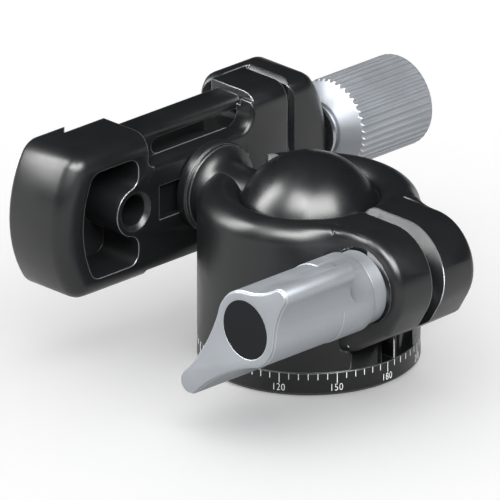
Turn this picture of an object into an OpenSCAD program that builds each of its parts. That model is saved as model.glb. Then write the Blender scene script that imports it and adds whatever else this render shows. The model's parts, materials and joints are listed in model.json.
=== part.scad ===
// Tripod ball head: split housing with a clamping lever, panning base and
// quick-release clamp. The origin is the centre of the base's bottom face, +Z is up,
// +X runs along the lever's axis towards the clamp knob, and +Y is the way the ball's
// stem points when it lies in the drop notch.

/* [Base and housing] */
// Radius of the housing and of the scale ring
body_r = 19.75; // [19.6:0.05:19.9]
// Height of the scale ring
ring_h = 4.3; // [4:0.1:4.5]
// Radius of the ball
ball_r = 13; // [12.95:0.01:13.02]
// Height of the ball's centre
ball_z = 24.9; // [24.8:0.1:25]
// Radius of the rounded rim's section
rim_r = 3.87; // [3.8:0.01:3.87]
// Height of the rim's section centre
rim_z = 27.9; // [27.8:0.1:28]
// Width of the split through the wall and the ears
split_w = 3; // [2:0.1:3.5]
// Half width of the drop notch for the stem
notch_r = 6.35; // [6:0.05:6.6]
// Radius of the tripod thread's wall in the insert
thread_r = 4; // [3:0.05:4.2]

/* [Clamping ears] */
// Half of the width over both ears
ear_x = 9.66; // [9.3:0.02:9.9]
// Radius of the ears' nose
ear_r = 9.1; // [8.8:0.1:9.1]
// Distance of the clamping bolt from the housing's axis
bolt_y = 23.15; // [23:0.05:23.3]
// Height of the clamping bolt
bolt_z = 22.6; // [22.5:0.1:22.7]
// Rounding of the ears' edges
ear_fillet = 1.6; // [1:0.05:1.6]

/* [Lever] */
// Radius of the lever's hub
hub_r = 7.1; // [6.9:0.05:7.2]
// Reach of the long wing from the bolt
wing_reach = 22.1; // [21:0.1:22.2]
// Radius of the wing's rounded tip
wing_tip_r = 2.25; // [2:0.05:2.5]
// Reach of the short ridge from the bolt
ridge_reach = 13.4; // [12.5:0.1:14]
// Radius of the ridge's rounded tip
ridge_tip_r = 1.7; // [1.2:0.1:2]
// Radius of the black end disc
cap_r = 5.4; // [4.8:0.1:5.6]

/* [Stem] */
// Radius of the neck
neck_r = 5.4; // [5.2:0.1:5.5]
// Radius of the flange under the clamp
flange_r = 8.4; // [8:0.1:8.6]

/* [Clamp] */
// Half of the clamp's width along the dovetail
clamp_w = 13.7; // [13.5:0.1:14]
// Distance of the clamp's underside from the ball's centre
clamp_y = 24.9; // [24.9:0.05:25]
// Thickness of the clamp
clamp_t = 14; // [13.8:0.1:14.2]
// Depth of the dovetail
dovetail_h = 2.7; // [2.4:0.1:2.8]
// Radius of the bowed ends
crown_r = 22.7; // [20:0.1:30]
// Rounding of the edges on the ball's side
clamp_fillet = 3.2; // [2.5:0.1:3.2]
// Gap between the body and the moving jaw
jaw_gap = 1; // [1:0.05:1.1]

/* [Clamp knob] */
// Radius over the flutes
knob_r = 8.4; // [8:0.1:8.6]
// Length of the fluted part
knob_len = 17.7; // [17:0.1:18]
// Number of flutes
flutes = 40; // [30:1:42]

/* [Hidden] */
$fn = 96;

eps = 0.02;               // fit gap between pieces that don't move against each other
run = 0.05;               // running clearance on a radius
over = 1;                 // how far a cutter stands past the face it cuts
lap = 0.1;                // how far two shapes of one piece reach into each other

// Colours
black = "#1b1d20";
silver = "#a9b0b8";
steel = "#8d9094";
plastic = "#e8e4da";
brass = "#c2a14d";

// Panning base
base_gap = 0.1;                         // parting line between ring and housing
boss_r = 14.52;                         // boss that centres the housing
boss_z = 8.8;                           // top of the boss
pan_neck_r = 8;                         // neck that carries the retainer
pan_neck_z = 10.75;                     // top of the neck
pan_z = 7;                              // height of the pan lock's screw
groove_d = 0.9;                         // depth of the groove for the pan lock's pad
groove_w = 1.1;                         // half width of that groove at its mouth
groove_slope = 0.7;                     // how fast its flanks close in towards the bottom
bush_r = 5.5;                           // outside of the threaded insert
bush_z = 9.5;                           // top of the insert
washer_t = 0.3;                         // thickness of the pan washers
lower_washer_gap = 0.6;                 // metal left bare at the lower washer's edges
upper_washer_gap = 0.3;                 // the same for the upper one
retainer_r = 10.4;
retainer_bore_r = 3.5;
retainer_t = 1;
retainer_screw_at = 6.8;                // radius of the circle of its screws
retainer_screw_r = 0.95;
retainer_head_r = 1.8;
retainer_screw_len = 4.6;
retainer_screw_room = 0.2;              // room under the screws' ends
retainer_hex_r = 0.75;
retainer_hex_d = 0.6;

// Housing
counter_r = 14.6;                       // counterbore that runs on the boss
counter_z = 10.4;                       // its shoulder
housing_bore_r = ball_r + 0.15;
cavity_r = ball_r + 0.1;                // spherical seat under the rim
rim_at = body_r - rim_r;                // radius of the circle that the rim's section follows
housing_z = ring_h + base_gap;
ear_top = rim_z + rim_r - 0.06;         // flat top of the ears, just under the rim's crest
ear_in = rim_at - 0.56;                 // the ears start inside the rim's section here
corner_y = 27.4;                        // rounded lower corner of the ears
corner_z = 15.4;
corner_r = 1.75;
root_y = 19.4;                          // where the ears' underside meets the housing
root_z = 10.4;
wall_y = 12;                            // the ears' outline ends inside the wall
wall_z = 8.2;
edge_bevel = 0.5;
cavity_in = 10;                         // cutters through the wall start inside the cavity
flare_from = 17;                        // the notch widens outwards from here
flare_slope = 0.7;
seat_z = 12.05;                         // foot of the ball seat, on the spring
seat_top = 19.2;
seat_bore_r = 10.9;
spring_r = 12.9;                        // outside of the disc spring
spring_wall = 0.4;
spot_r = 7;                             // spot face for the lever's collar
spot_t = 0.1;

// Clamping bolt
bolt_r = 2.95;
bolt_from = -31;
ear_bore_r = bolt_r + run;
nut_af = 10;                            // width across the nut's flats
nut_h = 5;
nut_sink = 0.4;
nut_room = 0.1;                         // room round the nut's flats
bolt_sink = 1;                          // the bolt ends this far inside the far ear
lever_washer_r = 5.65;

// Pan lock, distances from the housing's axis
pan_turn = 12;                          // its direction from +X towards +Y
pan_screw_r = 2;
pan_bore_r = pan_screw_r + run;
pan_screw_from = 16.1;
pan_pad_tip = 14;
pan_pad_from = 14.75;
pan_pad_gap = 0.1;                      // between the pad and the screw's end
pan_tip_r = 0.35;                       // the pad's cone, at its tip and at its foot
pan_cone_r = 1;
pan_knob_from = 20.7;
pan_knob_to = 30.5;
pan_knob_r = 5.4;
pan_collar_r = 3.4;                     // plain neck of the knob
pan_collar_len = 1.6;
pan_bevel = 0.6;
pan_flutes = 24;
pan_flute_out = 0.15;                   // the flutes' centres lie this far past the surface
pan_dish = 0.4;                         // depth of the dish in the knob's end
pan_socket = 1.5;                       // wall left past the screw's end

// Lever, all distances along -X from the housing's middle
collar_x = 10.12;
collar_end = 13.3;
collar_r = 6.65;
lever_neck_r = 7.25;
wing_x = 21.3;
lever_end = 38.5;
lever_edge = 0.5;
scoop_r = 4;                            // hollow rounding between neck and wing
wing_turn = 135;                        // the wing hangs towards +Y and down
neck_bevel = [[0, 0.7], [0.2, 0.25], [0.7, 0]];
cap_t = 1;
flank_r = 36.6;                         // radius of the wing's hollow flanks
ridge_flank_r = 15;                     // radius of the ridge's hollow flanks
socket_r = 4;                           // recess of the lever's screw
socket_x = 33;
lever_screw_r = 2;
lever_head_r = 3.6;
lever_head_x = 36.6;
lever_hex_r = 1.75;
lever_hex_d = 1.6;
bolt_room = 0.2;                        // room past the bolt's end
lever_screw_room = 0.1;                 // room round the screw's shank

// Stem and clamp, distances along +Y from the ball's centre
shank_r = 4;
shank_from = 4;
shank_room = 0.2;                       // room under the shank's end
neck_from = 12;
neck_room = 0.3;                        // room round the neck where it enters the ball
boss_y = 22.1;                          // thin boss behind the flange
flange_y = 22.7;
flange_step = 0.4;
trumpet_r = 3.4;                        // rounding between neck and flange
key_t = 1.1;                            // key of the flange in the clamp's slot
key_x = 6;
key_z = 3.15;
key_slot_left = -12.5;
key_slot_right = 9.5;
clamp_top = clamp_y + clamp_t;
pad_y = clamp_top - dovetail_h;         // seat for the camera plate
floor_y = pad_y - 1.5;                  // relief between the seats
relief_left = -14.6;
rabbet_y = 29;                          // floor of the step in the underside
left_end = -36.4;
left_root = -24.9;
right_root = 14.2;
body_end = 19.2;
jaw_in = body_end + jaw_gap;
jaw_out = 30.6;
plate_edge = 1;                         // rounding of the edges on the plate's side
block_r = 4;                            // rounded corners of the clamp, seen from the ball
lip_r = 4;                              // rounded corners of the jaw's lip
waist_left = -15.2;                     // the waist between the end blocks
waist_right = 11.4;
waist_top = 12.4;
waist_low = -12.2;
waist_edge = 1.2;
ledge_z = 7.3;                          // step in the upper half of the waist
ledge_edge = 0.8;
ledge_left_r = 1.5;
ledge_right = 10.6;
ledge_right_r = 3.2;
slot_z = 8.9;                           // long slot through the waist
slot_r = 1.5;
slot_left = -9;
slot_right = 9.6;
pocket_left = -31.2;                    // kidney-shaped pocket in the end block
pocket_right = -17.6;
pocket_h = 10.1;
pocket_crown_r = 20.5;
pocket_lobe_r = 2.3;
pocket_d = 9;
eye_x = -18.3;                          // hole in the pocket's round boss
eye_r = 2.9;
eye_bevel = 0.75;
eye_wall_r = 4.6;
spindle_y = 30;
spindle_r = 2.95;
spindle_from = 6.7;                     // clear of the bore's floor when the jaw shuts
spindle_to = 46;
spindle_bore_from = 5.6;
spring_bore_r = 4.3;
spring_from = 16.2;
spring_to = 22;
spring_wire_r = 0.42;
spring_pitch = 0.8;
spring_play = 0.23;                     // between the coils and the wall of their bore
spring_gap = 0.1;                       // between the last coils and the bore's floors
pin_y = 33.2;
pin_z = 8.6;
pin_r = 1.25;
pin_from = 12.6;
pin_to = 28;
pin_room = 1.1;                         // room past the pins' ends when the jaw shuts
screw_head_r = 4.6;
screw_head_h = 3;
screw_r = 2.48;
screw_from = 14.5;
screw_bore_from = 14;
screw_room = 0.2;
hex_r = 2.3;
hex_floor = 0.8;                        // metal left under the screw's hexagon
split_edge = 0.86;                      // bevel of the jaw's inner face

// Knob, distances along +X
washer_x = jaw_out + eps;
knob_washer_r = 5.2;
knob_x = 31.25;
knob_neck_r = 4.2;
knob_cone_x = 32.5;
knob_cone_r = 5;
flute_x = 35.3;
flute_r = 0.5;
flute_out = 0.1;                        // the flutes' centres lie this far past the surface
knob_edge = 1.3;
dish_r = 5.6;                           // shallow dish in the knob's end
dish_h = 0.8;
knob_bore_to = 46.2;
grub_x = 38.5;
grub_r = 1.25;
grub_len = 3.6;
grub_hex_d = 1.4;
grub_turn = 210;                        // the grub screw faces the plate's side and down

// Turns a revolved or extruded shape from the Z axis to the X axis or the Y axis
module along_x() { rotate([90, 0, 90]) children(); }
module along_y() { rotate([-90, 0, 0]) children(); }

// A cylinder along X or along Y, between two places on that axis
module rod_x(r, from, to) { translate([from, 0, 0]) rotate([0, 90, 0]) cylinder(r = r, h = to - from); }
module rod_y(r, from, to) { translate([0, from, 0]) rotate([-90, 0, 0]) cylinder(r = r, h = to - from); }

// A flat ring
module ring(outer, inner, from, to) {
    translate([0, 0, from]) difference() {
        cylinder(r = outer, h = to - from);
        translate([0, 0, -over]) cylinder(r = inner, h = to - from + 2 * over);
    }
}

// A rectangle with its four corners rounded, given by two opposite corners
module soft_rect(low, high, r) {
    translate([low[0] + r, low[1]]) square([high[0] - low[0] - 2 * r, high[1] - low[1]]);
    translate([low[0], low[1] + r]) square([high[0] - low[0], high[1] - low[1] - 2 * r]);
    for (x = [low[0] + r, high[0] - r])
        for (y = [low[1] + r, high[1] - r])
            translate([x, y]) circle(r = r);
}

module at_ball() { translate([0, 0, ball_z]) children(); }
module at_bolt() { translate([0, -bolt_y, bolt_z]) children(); }

module three_screws() {
    for (a = [30, 150, 270]) rotate(a) translate([retainer_screw_at, 0, 0]) children();
}

// ---- Base ----

module pan_base() {
    color(black) difference() {
        rotate_extrude() polygon([
            [0, bush_z + eps], [bush_r + eps, bush_z + eps], [bush_r + eps, 0],
            [body_r - edge_bevel, 0], [body_r, edge_bevel], [body_r, ring_h],
            [boss_r, ring_h], [boss_r, pan_z - groove_w],
            [boss_r - groove_d, pan_z - groove_w + groove_d * groove_slope],
            [boss_r - groove_d, pan_z + groove_w - groove_d * groove_slope],
            [boss_r, pan_z + groove_w], [boss_r, boss_z], [pan_neck_r, boss_z],
            [pan_neck_r, pan_neck_z], [0, pan_neck_z]]);
        three_screws() translate([0, 0, pan_neck_z - retainer_screw_len])
            cylinder(r = retainer_screw_r + eps, h = retainer_screw_len + over);
    }
}

module thread_bush() {
    color(steel) ring(bush_r, thread_r, 0, bush_z);
}

module pan_washer_lower() {
    color(plastic) ring(boss_r - lower_washer_gap, pan_neck_r + lower_washer_gap,
                        boss_z, boss_z + washer_t);
}

module pan_washer_upper() {
    color(plastic) ring(retainer_r - upper_washer_gap, pan_neck_r + upper_washer_gap,
                        pan_neck_z - washer_t, pan_neck_z);
}

module pan_retainer() {
    color(steel) difference() {
        ring(retainer_r, retainer_bore_r, pan_neck_z, pan_neck_z + retainer_t);
        three_screws() {
            translate([0, 0, pan_neck_z - over])
                cylinder(r = retainer_screw_r + eps, h = retainer_t + 2 * over);
            translate([0, 0, pan_neck_z + retainer_t - (retainer_head_r - retainer_screw_r)])
                cylinder(r1 = retainer_screw_r + eps, r2 = retainer_head_r + eps,
                         h = retainer_head_r - retainer_screw_r);
        }
    }
}

module retainer_screws() {
    head_h = retainer_head_r - retainer_screw_r;
    color(steel) three_screws() difference() {
        union() {
            translate([0, 0, pan_neck_z - retainer_screw_len + retainer_screw_room])
                cylinder(r = retainer_screw_r,
                         h = retainer_screw_len - retainer_screw_room + retainer_t - head_h + lap);
            translate([0, 0, pan_neck_z + retainer_t - head_h])
                cylinder(r1 = retainer_screw_r, r2 = retainer_head_r, h = head_h);
        }
        translate([0, 0, pan_neck_z + retainer_t - retainer_hex_d])
            cylinder(r = retainer_hex_r, h = over, $fn = 6);
    }
}

// ---- Housing ----

// One slice of the ears' side outline, inset for the edge rounding: the round nose, the
// lower corner, the root on the wall and the flat top
module ear_slice(inset) {
    translate([-bolt_y, bolt_z]) circle(r = ear_r - inset, $fn = 48);
    for (at = [[-corner_y, corner_z], [-root_y, root_z], [-wall_y, wall_z],
               [-wall_y, ear_top - corner_r], [-bolt_y, ear_top - corner_r]])
        translate(at) circle(r = corner_r - inset, $fn = 24);
}

// Both ears in one rounded block that runs into the wall
module ears() {
    difference() {
        hull() for (a = [0 : 22.5 : 90]) {
            x = ear_x - ear_fillet * (1 - sin(a));
            translate([-x, 0, 0]) along_x() linear_extrude(height = 2 * x)
                ear_slice(ear_fillet * (1 - cos(a)));
        }
        translate([0, 0, -over]) cylinder(r = ear_in, h = 3 * ball_z);
    }
}

// Section of the round body: wall, round rim, seat for the ball and counterbore
module housing_section() {
    difference() {
        union() {
            translate([housing_bore_r - over, housing_z])
                square([body_r - housing_bore_r + over, rim_z - housing_z]);
            translate([rim_at, rim_z]) circle(r = rim_r);
        }
        translate([0, ball_z]) circle(r = cavity_r);
        square([housing_bore_r, ball_z]);
        square([counter_r, counter_z]);
    }
}

// The drop notch: round below, open above, and wider towards the outside
module notch() {
    flare = body_r + over - flare_from;
    rod_y(notch_r, cavity_in, body_r + over);
    translate([-notch_r, cavity_in, 0]) cube([2 * notch_r, body_r, ball_z]);
    translate([0, flare_from, 0]) rotate([-90, 0, 0])
        cylinder(r1 = notch_r, r2 = notch_r + flare_slope * flare, h = flare);
    linear_extrude(height = ball_z) polygon([
        [-notch_r, flare_from], [notch_r, flare_from],
        [notch_r + flare_slope * flare, body_r + over], [-notch_r - flare_slope * flare, body_r + over]]);
}

module housing() {
    color(black) difference() {
        union() {
            rotate_extrude() housing_section();
            ears();
        }
        // split through the wall and the ears
        translate([-split_w / 2, -2 * body_r, 0]) cube([split_w, 2 * body_r - cavity_in, 2 * ball_z]);
        at_ball() notch();
        at_bolt() {
            // clamping bolt, nut and spot face of the lever's collar
            rod_x(ear_bore_r, -2 * ear_x, 2 * ear_x);
            rotate([0, 90, 0]) translate([0, 0, ear_x - nut_h])
                cylinder(r = (nut_af + nut_room) / sqrt(3), h = 2 * nut_h, $fn = 6);
            rod_x(spot_r, -2 * ear_x, -ear_x + spot_t);
        }
        pan_lock_at() rod_x(pan_bore_r, counter_r - over, 2 * body_r);
    }
}

module bearing_ring() {
    color(steel) ring(counter_r - eps, pan_neck_r + run, boss_z + washer_t + run, counter_z);
}

module disc_spring() {
    foot = spring_r - spring_wall / 2;
    head = seat_bore_r + spring_wall / 2;
    color(steel) rotate_extrude() polygon([
        [spring_r, counter_z], [spring_r, counter_z + spring_wall], [head, seat_z], [seat_bore_r, seat_z],
        [seat_bore_r, seat_z - spring_wall], [foot, counter_z]]);
}

module ball_seat() {
    color(plastic) rotate_extrude() difference() {
        translate([seat_bore_r, seat_z]) square([housing_bore_r - run - seat_bore_r, seat_top - seat_z]);
        translate([0, ball_z]) circle(r = ball_r + eps);
    }
}

module bolt_nut() {
    color(steel) at_bolt() difference() {
        rotate([0, 90, 0]) translate([0, 0, ear_x - nut_h])
            cylinder(r = nut_af / sqrt(3), h = nut_h - nut_sink, $fn = 6);
        rod_x(ear_bore_r, 0, 2 * ear_x);
    }
}

module lever_washer() {
    color(steel) at_bolt() difference() {
        rod_x(lever_washer_r, -collar_x + eps, -ear_x + spot_t - eps);
        rod_x(ear_bore_r, -2 * ear_x, 0);
    }
}

// ---- Pan lock ----

module pan_lock_at() { rotate(pan_turn) translate([0, 0, pan_z]) children(); }

module pan_pad() {
    color(brass) pan_lock_at() {
        rod_x(pan_screw_r - eps, pan_pad_from, pan_screw_from - pan_pad_gap);
        rotate([0, 90, 0]) translate([0, 0, pan_pad_tip])
            cylinder(r1 = pan_tip_r, r2 = pan_cone_r, h = pan_pad_from - pan_pad_tip);
    }
}

module pan_screw() {
    color(steel) pan_lock_at() rod_x(pan_screw_r, pan_screw_from, pan_knob_to - pan_socket);
}

module pan_knob() {
    head = pan_knob_from + pan_collar_len;
    color(black) pan_lock_at() difference() {
        rotate([0, 90, 0]) rotate_extrude() polygon([
            [0, pan_knob_from], [pan_collar_r, pan_knob_from], [pan_collar_r, head],
            [pan_knob_r - pan_bevel, head], [pan_knob_r, head + pan_bevel],
            [pan_knob_r, pan_knob_to - pan_bevel], [pan_knob_r - pan_bevel, pan_knob_to],
            [pan_collar_r + pan_dish / 2, pan_knob_to], [pan_collar_r, pan_knob_to - pan_dish],
            [0, pan_knob_to - pan_dish]]);
        rod_x(pan_screw_r + eps, 0, pan_knob_to - pan_socket);
        for (i = [0 : pan_flutes - 1]) rotate([360 / pan_flutes * i, 0, 0])
            translate([0, 0, pan_knob_r + pan_flute_out])
                rod_x(flute_r, head - pan_bevel, pan_knob_to + over);
    }
}

// ---- Lever ----

module lever_bolt() {
    color(steel) at_bolt() rod_x(bolt_r, bolt_from, ear_x - bolt_sink);
}

module lever_collar() {
    edge = 0.3;
    color(silver) at_bolt() along_x() rotate_extrude() polygon([
        [bolt_r + eps, -collar_end + eps], [bolt_r + eps, -collar_x], [collar_r - edge, -collar_x],
        [collar_r, -collar_x - edge], [collar_r, -collar_end + eps]]);
}

// Section of the lever, drawn with the wing pointing to -X: a round hub, a long wing and a
// short ridge, both with hollow flanks; the inset is the bevel of the lever's end
module lever_section(inset) {
    tip_at = wing_reach - wing_tip_r;
    touch = (hub_r - inset) / (hub_r + flank_r);
    flank_y = flank_r + wing_tip_r;
    circle(r = hub_r - inset);
    translate([-tip_at, 0]) circle(r = wing_tip_r - inset);
    difference() {
        translate([-tip_at, -flank_y * touch]) square([tip_at * (1 - touch), 2 * flank_y * touch]);
        for (s = [-1, 1]) translate([-tip_at, s * flank_y]) circle(r = flank_r + inset, $fn = 360);
    }
    ridge_section(inset);
}

// The ridge: each flank is an arc that touches the hub and the rounded tip
module ridge_section(inset) {
    tip_at = ridge_reach - ridge_tip_r;
    to_hub = hub_r + ridge_flank_r;
    to_tip = ridge_tip_r + ridge_flank_r;
    flank_x = (to_hub * to_hub - to_tip * to_tip + tip_at * tip_at) / (2 * tip_at);
    flank_y = sqrt(to_hub * to_hub - flank_x * flank_x);
    hub_touch = [flank_x, flank_y] * (hub_r - inset) / to_hub;
    tip_touch = [tip_at, 0] + [flank_x - tip_at, flank_y] * (ridge_tip_r - inset) / to_tip;
    translate([tip_at, 0]) circle(r = ridge_tip_r - inset);
    difference() {
        polygon([hub_touch, tip_touch, [tip_touch[0], -tip_touch[1]], [hub_touch[0], -hub_touch[1]]]);
        for (s = [-1, 1]) translate([flank_x, s * flank_y]) circle(r = ridge_flank_r + inset, $fn = 180);
    }
}

// Part of the winged body between two places along -X
module wing_slab(from, to, inset) {
    translate([-to, 0, 0]) along_x() rotate(wing_turn) linear_extrude(height = to - from)
        lever_section(inset);
}

// Cutter for the hollow rounding where the wing grows out of the round neck; it starts just
// inside the neck
module wing_scoop() {
    reach = wing_reach + over;
    root = lever_neck_r - run;
    along_x() rotate_extrude() {
        translate([root + scoop_r, scoop_r - wing_x]) circle(r = scoop_r);
        translate([root + scoop_r, -wing_x]) square([reach, scoop_r + over]);
        translate([root, scoop_r - wing_x]) square([reach, over]);
    }
}

module lever_handle() {
    color(silver) at_bolt() difference() {
        union() {
            along_x() rotate_extrude() polygon([
                [0, -wing_x - run], [lever_neck_r, -wing_x - run],
                for (b = neck_bevel) [lever_neck_r - b[0], -collar_end - b[1]],
                [0, -collar_end]]);
            difference() {
                union() {
                    wing_slab(wing_x - scoop_r, lever_end - lever_edge, 0);
                    wing_slab(lever_end - lever_edge - lap, lever_end, lever_edge / 2);
                }
                wing_scoop();
            }
        }
        rod_x(bolt_r + eps, bolt_from - bolt_room, 0);
        rod_x(cap_r + eps, -lever_end - over, -lever_end + cap_t);
        rod_x(socket_r, -lever_end, -socket_x);
        rod_x(lever_screw_r + lever_screw_room, -socket_x - over, bolt_from);
    }
}

module lever_screw() {
    color(steel) at_bolt() difference() {
        union() {
            rod_x(lever_head_r, -lever_head_x, -socket_x - eps);
            rod_x(lever_screw_r, -socket_x - lap, bolt_from - bolt_room - run);
        }
        rotate([0, 90, 0]) translate([0, 0, -lever_head_x - over])
            cylinder(r = lever_hex_r, h = lever_hex_d + over, $fn = 6);
    }
}

module lever_cap() {
    color(black) at_bolt() rod_x(cap_r, -lever_end, -lever_end + cap_t);
}

// ---- Ball and stem ----

module ball() {
    color(black) at_ball() along_y() rotate_extrude() difference() {
        circle(r = ball_r);
        translate([-2 * ball_r, -2 * ball_r]) square([2 * ball_r, 4 * ball_r]);
        translate([0, neck_from - lap]) square([neck_r + neck_room, ball_r]);
        translate([0, shank_from]) square([shank_r, ball_r]);
    }
}

module ball_stem() {
    rim = 0.25;
    color(black) at_ball() difference() {
        union() {
            along_y() rotate_extrude() difference() {
                polygon([
                    [0, shank_from + shank_room], [shank_r - run, shank_from + shank_room],
                    [shank_r - run, neck_from],
                    [neck_r, neck_from], [neck_r, boss_y - trumpet_r],
                    [flange_r - flange_step, boss_y - trumpet_r], [flange_r - flange_step, flange_y],
                    [flange_r - rim, flange_y], [flange_r, flange_y + rim],
                    [flange_r, clamp_y - rim], [flange_r - rim, clamp_y], [0, clamp_y]]);
                translate([neck_r + trumpet_r, boss_y - trumpet_r]) circle(r = trumpet_r);
            }
            translate([-key_x, clamp_y - over, -key_z]) cube([2 * key_x, key_t + over, 2 * key_z]);
        }
        rod_y(screw_r + eps, screw_bore_from, 2 * clamp_y);
    }
}

// ---- Clamp ----

// Extrudes a shape drawn in X and Z along +Y
module plate_y(from, to) {
    translate([0, to, 0]) rotate([90, 0, 0]) linear_extrude(height = to - from) children();
}

// Points of an arc round a centre
function arc(at, r, from, to, steps) =
    [for (i = [0 : steps]) let (turn = from + (to - from) * i / steps) at + r * [cos(turn), sin(turn)]];

// Outline of the clamp in X and Z, inset by the rounding of its edges: straight sides, bowed
// ends, and corners that touch both
function clamp_outline(inset) =
    let (
        bow = crown_r - block_r,
        side = clamp_w - block_r,
        across = sqrt(bow * bow - side * side),
        turn = asin(side / bow),
        right = jaw_out - crown_r,
        left = left_end + crown_r,
        corner = block_r - inset
    )
    concat(
        arc([right, 0], crown_r - inset, -turn, turn, 14),
        arc([right + across, side], corner, turn + 10, 90, 5),
        arc([left - across, side], corner, 90, 170 - turn, 5),
        arc([left, 0], crown_r - inset, 180 - turn, 180 + turn, 14),
        arc([left - across, -side], corner, 190 + turn, 270, 5),
        arc([right + across, -side], corner, 270, 350 - turn, 5)
    );

// The whole clamp before it is split: large rounding on the ball's side, small on the plate's
module clamp_slab() {
    rings = concat(
        [for (a = [90 : -18 : 0]) [clamp_y + clamp_fillet * (1 - sin(a)), clamp_fillet * (1 - cos(a))]],
        [for (a = [0 : 30 : 90]) [clamp_top - plate_edge * (1 - sin(a)), plate_edge * (1 - cos(a))]]);
    points = [for (ring = rings) for (p = clamp_outline(ring[1])) [p[0], ring[0], p[1]]];
    n = len(clamp_outline(0));
    last = len(rings) - 1;
    polyhedron(points = points, faces = concat(
        [[for (i = [n - 1 : -1 : 0]) i]],
        [for (k = [0 : last - 1]) for (i = [0 : n - 1])
            [k * n + i, k * n + (i + 1) % n, (k + 1) * n + (i + 1) % n, (k + 1) * n + i]],
        [[for (i = [0 : n - 1]) last * n + i]]));
}

// What a convex rounding takes off a corner; the corner is at the origin and the piece lies
// at positive coordinates
module edge_cut(r) {
    difference() {
        translate([-over, -over]) square(r + over);
        translate([r, r]) circle(r = r);
    }
}

// The step in the upper half of the waist, with its rounded edges
module rabbet() {
    high = 2 * clamp_w;
    plate_y(clamp_y - over, rabbet_y) {
        translate([waist_left + ledge_left_r, ledge_z])
            square([ledge_right - ledge_right_r - waist_left - ledge_left_r, high]);
        translate([waist_left, ledge_z + ledge_left_r]) square([-waist_left, high]);
        translate([0, ledge_z + ledge_right_r]) square([ledge_right, high]);
        translate([waist_left + ledge_left_r, ledge_z + ledge_left_r]) circle(r = ledge_left_r);
        translate([ledge_right - ledge_right_r, ledge_z + ledge_right_r]) circle(r = ledge_right_r);
    }
    // front edge along the ledge, round the corner and up the end block
    translate([waist_left + ledge_left_r, 0, 0]) along_x()
        linear_extrude(height = ledge_right - ledge_right_r - waist_left - ledge_left_r)
            translate([clamp_y, ledge_z]) mirror([0, 1]) edge_cut(ledge_edge);
    translate([ledge_right - ledge_right_r, 0, ledge_z + ledge_right_r]) along_y() rotate_extrude()
        translate([ledge_right_r, clamp_y]) edge_cut(ledge_edge);
    translate([ledge_right, clamp_y, ledge_z + ledge_right_r]) linear_extrude(height = high)
        edge_cut(ledge_edge);
}

// Flat of the waist's upper side and its rounded front edge
module waist_cut() {
    long = waist_right - waist_left;
    translate([waist_left, 0, waist_top]) cube([long, 2 * clamp_top, clamp_w]);
    translate([waist_left, 0, -2 * clamp_w]) cube([long, 2 * clamp_top, 2 * clamp_w + waist_low]);
    translate([waist_left, 0, 0]) along_x() linear_extrude(height = long)
        translate([rabbet_y, waist_top]) mirror([0, 1]) edge_cut(waist_edge);
}

// Kidney-shaped pocket round the boss of the eye, drawn in X and Z
module kidney() {
    offset(r = -1, $fn = 48) offset(delta = 1)
    offset(r = pocket_lobe_r, $fn = 48) offset(delta = -pocket_lobe_r) difference() {
        intersection() {
            translate([pocket_left, -pocket_h]) square([pocket_right - pocket_left, 2 * pocket_h]);
            translate([pocket_left + pocket_crown_r, 0]) circle(r = pocket_crown_r);
        }
        translate([eye_x, 0]) circle(r = eye_wall_r);
        translate([eye_x, -eye_wall_r]) square([pocket_right - eye_x + over, 2 * eye_wall_r]);
    }
}

module clamp_body() {
    color(black) at_ball() difference() {
        clamp_slab();
        translate([body_end, 0, -2 * clamp_w]) cube([2 * jaw_out, 2 * clamp_top, 4 * clamp_w]);
        // bed of the plate: dovetail, seats and the relief between them
        translate([0, 0, -2 * clamp_w]) linear_extrude(height = 4 * clamp_w) {
            polygon([
                [left_root, pad_y], [left_root + dovetail_h + over, clamp_top + over],
                [2 * body_end, clamp_top + over], [2 * body_end, pad_y]]);
            translate([relief_left, floor_y]) square([waist_right - relief_left, clamp_t]);
        }
        waist_cut();
        rabbet();
        // long slot from the step to the relief
        plate_y(rabbet_y - lap, clamp_top) {
            for (x = [slot_left, slot_right]) translate([x, slot_z]) circle(r = slot_r);
            translate([slot_left, slot_z - slot_r]) square([slot_right - slot_left, 2 * slot_r]);
        }
        // pocket and eye of the end block
        plate_y(clamp_y - over, clamp_y + pocket_d) kidney();
        translate([eye_x, 0, 0]) {
            rod_y(eye_r, clamp_y - over, clamp_y + pocket_d);
            translate([0, clamp_y - over, 0]) rotate([-90, 0, 0])
                cylinder(r1 = eye_r + eye_bevel + over, r2 = eye_r, h = eye_bevel + over);
        }
        // slot for the flange's key
        translate([key_slot_left, clamp_y - over, -key_z - run])
            cube([key_slot_right - key_slot_left, key_t + run + over, 2 * (key_z + run)]);
        // cap screw
        rod_y(screw_r + screw_room, clamp_y, 2 * clamp_top);
        rod_y(screw_head_r + screw_room, floor_y - screw_head_h - screw_room, 2 * clamp_top);
        // spindle, spring and guide pins
        translate([0, spindle_y, 0]) {
            rod_x(spindle_r + run, spindle_bore_from, 2 * body_end);
            rod_x(spring_bore_r, spring_from, 2 * body_end);
        }
        at_pins() rod_x(pin_r + eps, pin_from, 2 * body_end);
    }
}

module at_pins() { for (s = [-1, 1]) translate([0, pin_y, s * pin_z]) children(); }

module clamp_screw() {
    head = floor_y - screw_head_h;
    color(steel) at_ball() difference() {
        union() {
            rod_y(screw_r, screw_from, head);
            rod_y(screw_head_r, head - screw_room, floor_y - 2 * screw_room);
        }
        translate([0, head + hex_floor, 0]) rotate([-90, 0, 0])
            cylinder(r = hex_r, h = screw_head_h, $fn = 6);
    }
}

module guide_pins() {
    color(steel) at_ball() at_pins() rod_x(pin_r, pin_from, pin_to);
}

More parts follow.
